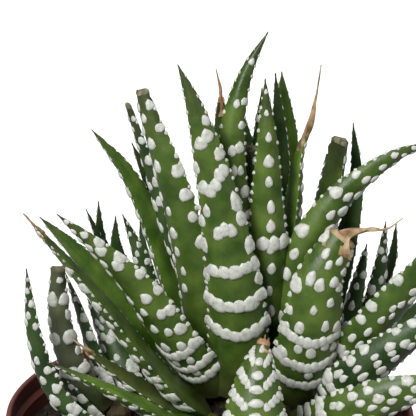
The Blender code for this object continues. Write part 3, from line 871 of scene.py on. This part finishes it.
LEFT = Rosette("left_stem", (
    Leaf("left_leaf_01", ((-24.2, -3.5, 2), (-28, -5, 9), (-31, -5, 17), (-32.5, -5, 26),
         (-32.5, -4, 34.5)), 6.5, -95, full=0.75, tone=Tone.GREY, layout=Layout.BANDS, end=End.CUT,
         dry=CALLUS_FINISH, bands=((0.83, -0.5, 0.7, 0.3), (0.58, -0.6, 0.6, 0.3),
         (0.34, -0.8, 0.8, 0.4)), drops=((0.72, 0.85, 2.6, 1.1), (0.68, -0.9, 2.6, 1.1),
         (0.46, 0.85, 2.4, 1.1), (0.95, 0.3, 1.6, 1.5))),
    Leaf("left_leaf_02", ((-21, 1.3, 2), (-25.5, 2, 15), (-29, 3, 25), (-31.5, 3, 31.5)), 7, -150),
    Leaf("left_leaf_03", ((-17.5, 0.6, 2), (-22, 6, 14), (-27, 9, 22.5)), 9, -120, layout=Layout.DENSE),
    Leaf("left_leaf_04", ((-21, -7, 1), (-26, -12.5, 4), (-31, -13.5, 8), (-35, -13, 15), (-37, -13, 23),
         (-38.5, -12, 38)), 7, -120),
    Leaf("left_leaf_05", ((-23.6, -5.6, 0), (-28, -6, 5), (-33.5, -4, 11)), 6.5, -130,
         layout=Layout.DENSE),
))

FRONT = Rosette("front_stem", (
    Leaf("front_leaf_01", ((9.7, -25.7, -1.5), (9.3, -28.5, 10), (9.5, -27, 16), (10, -25, 21.5),
         (11.5, -22, 27.5)), 16, -90, full=0.94, fleshy=0.93, tone=Tone.MID, layout=Layout.BEADS,
         end=End.WITHERED, dry=ORANGE_DRY_FINISH),
    Leaf("front_leaf_02", ((5.7, -22.5, 0), (0, -31, 4), (-6, -40, 6)), 8.5, -120, tone=Tone.MID),
    Leaf("front_leaf_03", ((14.3, -22.5, 0), (21, -29, 4), (30, -37, 5)), 8.5, -50, tone=Tone.MID),
    Leaf("front_leaf_04", ((10, -16.7, 1), (10, -15, 8), (11, -14, 14)), 7, 90, tone=Tone.MID),
))

REAR_LEFT = Rosette("rear_left_stem", (
    Leaf("rear_left_leaf_01", ((-17.3, 22, 0), (-21, 23, 17), (-25, 25, 30.5), (-28, 26, 37.5)), 6.5, 150),
    Leaf("rear_left_leaf_02", ((-16.3, 25.5, 0), (-21, 29, 17), (-25, 30.5, 28.5), (-25.5, 31, 37.5)), 6,
         120),
    Leaf("rear_left_leaf_03", ((-13.3, 26.4, 0), (-18, 29, 17), (-21.5, 28.5, 28), (-21.5, 28, 35)), 6,
         100),
    Leaf("rear_left_leaf_04", ((-13, 19.5, 0), (-13.5, 19, 17), (-16, 20, 29.5), (-19.5, 21, 38)), 7,
         -100),
    Leaf("rear_left_leaf_05", ((-10.7, 24.5, 0), (-13, 27.5, 16), (-15, 29, 25.5), (-16, 30, 33)), 6, 60),
))

REAR_RIGHT = Rosette("rear_right_stem", (
    Leaf("rear_right_leaf_01", ((28.8, 18.9, -2), (31.5, 18, 13), (33.5, 20, 21), (35.5, 22, 30.5)), 6.5,
         -110),
    Leaf("rear_right_leaf_02", ((33.3, 21.6, -2), (37, 23, 14), (39, 25, 24.5), (40, 26, 34.5)), 7, -60),
    Leaf("rear_right_leaf_03", ((31.5, 25, -2), (37.5, 29, 14), (42, 31, 23), (43, 32, 32)), 6, 40),
))


@dataclass
class Pot:
    """The thin moulded pot: lipped rim, stacking shoulder, tapered wall and drained floor."""

    wall: float = 1.2
    floor: float = 1.6
    lip: float = 1.0
    lip_height: float = 5.0
    shoulder_drop: float = 14.0
    step: float = 1.4
    base_radius: float = 31.0
    drain_radius: float = 3.5
    drain_circle: float = 20.0
    drains: int = 6
    sides: int = 144

    def outside(self, height: float) -> float:
        """Radius of the tapered wall's outside at a height, both in millimetres."""
        top = RIM_RADIUS / MM - self.lip - self.step
        return self.base_radius + (top - self.base_radius) / (RIM_HEIGHT / MM) * height

    def profile(self) -> list[tuple[float, float]]:
        """Draws the outline that is turned about the pot's axis.

        Returns:
            Radius and height of each point in millimetres, from the middle of the floor's top, up the
            inside, over the rim and down the outside to the middle of the underside.
        """
        height = RIM_HEIGHT / MM
        rim = RIM_RADIUS / MM
        shoulder = height - self.shoulder_drop
        upper = rim - self.lip
        lip = height - self.lip_height
        crown = [(rim - 0.6 + 0.6 * math.cos(turn), height - 0.6 + 0.6 * math.sin(turn))
                 for turn in np.linspace(math.pi, 0.0, 9)]
        foot = [(self.base_radius - 1.0 + math.sin(turn), 1.0 - math.cos(turn))
                for turn in np.linspace(0.5 * math.pi, 0.0, 5)]
        inside = [(0.0, self.floor), (self.outside(self.floor) - self.wall, self.floor),
                  (self.outside(shoulder) - self.wall, shoulder), (upper - self.wall - 0.2, shoulder + 1.3),
                  (upper - self.wall, shoulder + 1.8), (upper - self.wall, lip), (rim - self.wall, lip + 1.0)]
        outside = [(rim, lip + 0.3), (rim - 0.3, lip), (upper + 0.1, lip - 0.2), (upper, lip - 0.6),
                   (upper, shoulder + 1.0), (upper - 0.3, shoulder + 0.2),
                   (self.outside(shoulder), shoulder - 0.6)]
        return inside + crown + outside + foot + [(0.0, 0.0)]

    def build(self) -> None:
        """Turns the pot and cuts its drain holes."""
        shell = bmesh.new()
        rings = []
        for radius, height in self.profile():
            if radius == 0.0:
                rings.append([shell.verts.new((0.0, 0.0, height * MM))])
                continue
            turns = np.linspace(0.0, 2 * math.pi, self.sides, endpoint=False)
            rings.append([shell.verts.new((radius * MM * math.cos(turn), radius * MM * math.sin(turn),
                                           height * MM)) for turn in turns])
        for low, high in zip(rings, rings[1:]):
            for i in range(self.sides):
                j = (i + 1) % self.sides
                loop = [low[i % len(low)], high[i % len(high)], high[j % len(high)], low[j % len(low)]]
                shell.faces.new(list(dict.fromkeys(loop)))
        bmesh.ops.recalc_face_normals(shell, faces=shell.faces)
        mesh = bpy.data.meshes.new("pot_shell")
        shell.to_mesh(mesh)
        shell.free()
        mesh.materials.append(POT_FINISH.material())
        mesh = self.drilled(mesh)
        mesh.shade_smooth()
        mesh.set_sharp_from_angle(angle=math.radians(35))
        add_piece("pot_shell", mesh, "pot_plastic", "pot")

    def drilled(self, mesh: bpy.types.Mesh) -> bpy.types.Mesh:
        """Cuts the drain holes through the floor.

        Args:
            mesh: the pot without its holes.

        Returns:
            The pot with its holes.
        """
        body = bpy.data.objects.new("pot_blank", mesh)
        bpy.context.scene.collection.objects.link(body)
        drill = bmesh.new()
        for k in range(self.drains):
            turn = 2 * math.pi * (k + 0.5) / self.drains
            place = self.drain_circle * MM * Vector((math.cos(turn), math.sin(turn), 0.0))
            hole = bmesh.ops.create_cone(drill, cap_ends=True, segments=40, radius1=self.drain_radius * MM,
                                         radius2=self.drain_radius * MM, depth=4 * self.floor * MM)
            bmesh.ops.translate(drill, verts=hole["verts"], vec=place)
        drill_mesh = bpy.data.meshes.new("drain_drill")
        drill.to_mesh(drill_mesh)
        drill.free()
        cutter = bpy.data.objects.new("drain_drill", drill_mesh)
        bpy.context.scene.collection.objects.link(cutter)
        cut = body.modifiers.new("drains", "BOOLEAN")
        cut.operation, cut.solver, cut.object = "DIFFERENCE", "EXACT", cutter
        graph = bpy.context.evaluated_depsgraph_get()
        result = bpy.data.meshes.new_from_object(body.evaluated_get(graph))
        bpy.data.objects.remove(body, do_unlink=True)
        bpy.data.objects.remove(cutter, do_unlink=True)
        return result


@dataclass
class Soil:
    """Potting mix: the mound and the loose crumbs and bark bits that lie on it.

    crumbs, twigs: how many of each lie on the mound.
    edge_drop, crown_rise: heights of its edge below the rim and of its middle above it, in millimetres.
    reach: how far from the pot's axis the crumbs lie, in millimetres.
    """

    crumbs: int = 2600
    twigs: int = 26
    edge_drop: float = 8.0
    crown_rise: float = 1.0
    reach: float = 41.5

    def height(self, radius: float) -> float:
        """Finds the mound's height above the rim.

        Args:
            radius: distance from the pot's axis, in millimetres.

        Returns:
            The height, in millimetres.
        """
        part = min(radius / 40.0, 1.0)
        fall = 0.5 - 0.5 * math.cos(math.pi * part**1.5)
        return self.crown_rise - (self.edge_drop + self.crown_rise) * fall

    def crumb(self, random: np.random.Generator, ball: np.ndarray, twig: bool) -> np.ndarray:
        """Shapes one crumb, or one thin bit of bark, and lays it on the mound.

        Args:
            random: the source of its size and place.
            ball: points of a ball with a radius of 1.
            twig: whether it is a bit of bark.

        Returns:
            Its points, in metres.
        """
        radius = self.reach * math.sqrt(random.random())
        turn = random.uniform(0.0, 2 * math.pi)
        size = random.uniform(0.25, 0.75) * (1.0 + 0.9 * (random.random() < 0.12))
        stretch = random.uniform(0.6, 1.3, 3) * size
        if twig:
            stretch = np.array((random.uniform(2.0, 5.0), 0.3, 0.3))
        lump = ball * (1.0 + 0.22 * random.standard_normal((len(ball), 1))) * stretch
        spin = random.uniform(0.0, 2 * math.pi)
        tilt = random.uniform(-0.5, 0.5)
        x = lump[:, 0] * math.cos(tilt) - lump[:, 2] * math.sin(tilt)
        y = lump[:, 1]
        z = lump[:, 0] * math.sin(tilt) + lump[:, 2] * math.cos(tilt)
        east = radius * math.cos(turn) + x * math.cos(spin) - y * math.sin(spin)
        north = radius * math.sin(turn) + x * math.sin(spin) + y * math.cos(spin)
        up = self.height(radius) + 0.25 * size + z
        return np.stack((east * MM, north * MM, up * MM + RIM_HEIGHT), axis=1)

    def build(self) -> None:
        """Dresses the mound and strews the crumbs."""
        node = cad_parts["soil"]
        node.data.materials.clear()
        node.data.materials.append(SOIL_FINISH.material())
        random = np.random.default_rng(41)
        blank = bmesh.new()
        bmesh.ops.create_icosphere(blank, subdivisions=1, radius=1.0)
        ball = np.array([vert.co[:] for vert in blank.verts])
        triangles = [[vert.index for vert in face.verts] for face in blank.faces]
        blank.free()
        verts = []
        faces = []
        for k in range(self.crumbs + self.twigs):
            start = len(verts)
            verts.extend(self.crumb(random, ball, k >= self.crumbs).tolist())
            faces.extend(tuple(start + i for i in triangle) for triangle in triangles)
        mesh = bpy.data.meshes.new("soil_crumbs")
        mesh.from_pydata(verts, [], faces)
        mesh.materials.append(SOIL_FINISH.material())
        add_piece("soil_crumbs", mesh, "soil_mix")


@dataclass
class Studio:
    """Plain pale floor, soft light and the camera.

    elevation: how far the camera looks down, in degrees.
    distance: from the camera to its target, in metres.
    target: what the camera looks at, in metres from the middle of the rim.
    lens, sensor: the lens's length and the sensor's width, in millimetres.
    floor_half: half the floor's width, in metres.
    shade: the floor's own glow close to the pot; its shadow shows against it.
    ambient: strength of the light from all round.
    """

    elevation: float = 20.0
    distance: float = 0.45
    target: Point = (-0.0004, 0.0, 0.0474)
    lens: float = 182.25
    sensor: float = 36.0
    floor_half: float = 6.0
    shade: float = 0.82
    ambient: float = 0.12

    def add_floor(self) -> None:
        """A wide floor that looks white to the camera and still takes the shadow."""
        mesh = bpy.data.meshes.new("floor")
        half = self.floor_half
        corners = [(-half, -half, 0.0), (half, -half, 0.0), (half, half, 0.0), (-half, half, 0.0)]
        mesh.from_pydata(corners, [], [(0, 1, 2, 3)])
        floor = bpy.data.objects.new("floor", mesh)
        bpy.context.scene.collection.objects.link(floor)
        material = bpy.data.materials.new("pale_floor")
        material.use_nodes = True
        tree = material.node_tree
        tree.nodes.clear()
        output = tree.nodes.new("ShaderNodeOutputMaterial")
        matte = tree.nodes.new("ShaderNodeBsdfDiffuse")
        matte.inputs["Color"].default_value = (0.42, 0.42, 0.42, 1.0)
        glow = tree.nodes.new("ShaderNodeEmission")
        rays = tree.nodes.new("ShaderNodeLightPath")
        place = tree.nodes.new("ShaderNodeTexCoord")
        reach = tree.nodes.new("ShaderNodeVectorMath")
        reach.operation = "LENGTH"
        tree.links.new(place.outputs["Object"], reach.inputs[0])
        fade = tree.nodes.new("ShaderNodeMapRange")
        for label, value in (("From Min", 0.12), ("From Max", 0.7), ("To Min", self.shade), ("To Max", 1.0)):
            fade.inputs[label].default_value = value
        tree.links.new(reach.outputs["Value"], fade.inputs["Value"])
        seen = tree.nodes.new("ShaderNodeMath")
        seen.operation = "MULTIPLY"
        tree.links.new(rays.outputs["Is Camera Ray"], seen.inputs[0])
        tree.links.new(fade.outputs["Result"], seen.inputs[1])
        tree.links.new(seen.outputs[0], glow.inputs["Strength"])
        both = tree.nodes.new("ShaderNodeAddShader")
        tree.links.new(matte.outputs[0], both.inputs[0])
        tree.links.new(glow.outputs[0], both.inputs[1])
        tree.links.new(both.outputs[0], output.inputs["Surface"])
        mesh.materials.append(material)

    def add_lamp(self, name: str, place: Point, size: float, watts: float) -> None:
        """Hangs a square soft lamp that faces the plant.

        Args:
            name: the lamp's name.
            place: where it hangs, in metres.
            size: its side, in metres.
            watts: its power.
        """
        lamp = bpy.data.lights.new(name, "AREA")
        lamp.shape, lamp.size, lamp.energy = "SQUARE", size, watts
        holder = bpy.data.objects.new(name, lamp)
        holder.location = place
        aim = Vector((0.0, 0.0, 0.1)) - Vector(place)
        holder.rotation_euler = aim.to_track_quat("-Z", "Y").to_euler()
        bpy.context.scene.collection.objects.link(holder)

    def add_world(self) -> None:
        """Even pale light from all round, white where the camera sees it."""
        world = bpy.data.worlds.new("studio")
        bpy.context.scene.world = world
        world.use_nodes = True
        tree = world.node_tree
        background = tree.nodes["Background"]
        background.inputs["Color"].default_value = (1.0, 1.0, 1.0, 1.0)
        rays = tree.nodes.new("ShaderNodeLightPath")
        strength = tree.nodes.new("ShaderNodeMapRange")
        strength.inputs["To Min"].default_value = self.ambient
        strength.inputs["To Max"].default_value = 1.0
        tree.links.new(rays.outputs["Is Camera Ray"], strength.inputs["Value"])
        tree.links.new(strength.outputs["Result"], background.inputs["Strength"])

    def add_camera(self) -> None:
        """A long-lens camera in front of the plant, looking a little down."""
        data = bpy.data.cameras.new("camera")
        data.sensor_width = self.sensor
        data.lens = self.lens
        data.clip_start = 0.01
        camera = bpy.data.objects.new("camera", data)
        tilt = math.radians(self.elevation)
        middle = Vector(self.target) + Vector((0.0, 0.0, RIM_HEIGHT))
        camera.location = middle + self.distance * Vector((0.0, -math.cos(tilt), math.sin(tilt)))
        camera.rotation_euler = (0.5 * math.pi - tilt, 0.0, 0.0)
        bpy.context.scene.collection.objects.link(camera)
        bpy.context.scene.camera = camera

    def build(self) -> None:
        """Sets up the whole studio."""
        self.add_floor()
        self.add_world()
        self.add_lamp("key", (-0.45, -0.75, 0.9), 0.45, 15.0)
        self.add_lamp("fill", (0.8, -0.3, 0.6), 0.8, 2.2)
        self.add_lamp("rear", (0.1, 0.8, 0.8), 0.7, 3.0)
        self.add_camera()
        bpy.context.scene.view_settings.view_transform = "Standard"


def main() -> None:
    """Builds the pot, soil and plant in order, then the studio."""
    logging.basicConfig(level=logging.INFO, format="%(message)s")
    Studio().build()
    Pot().build()
    Soil().build()
    for rosette in (MAIN, RIGHT, LEFT, FRONT, REAR_LEFT, REAR_RIGHT):
        rosette.build()


if __name__ == "__main__":
    main()
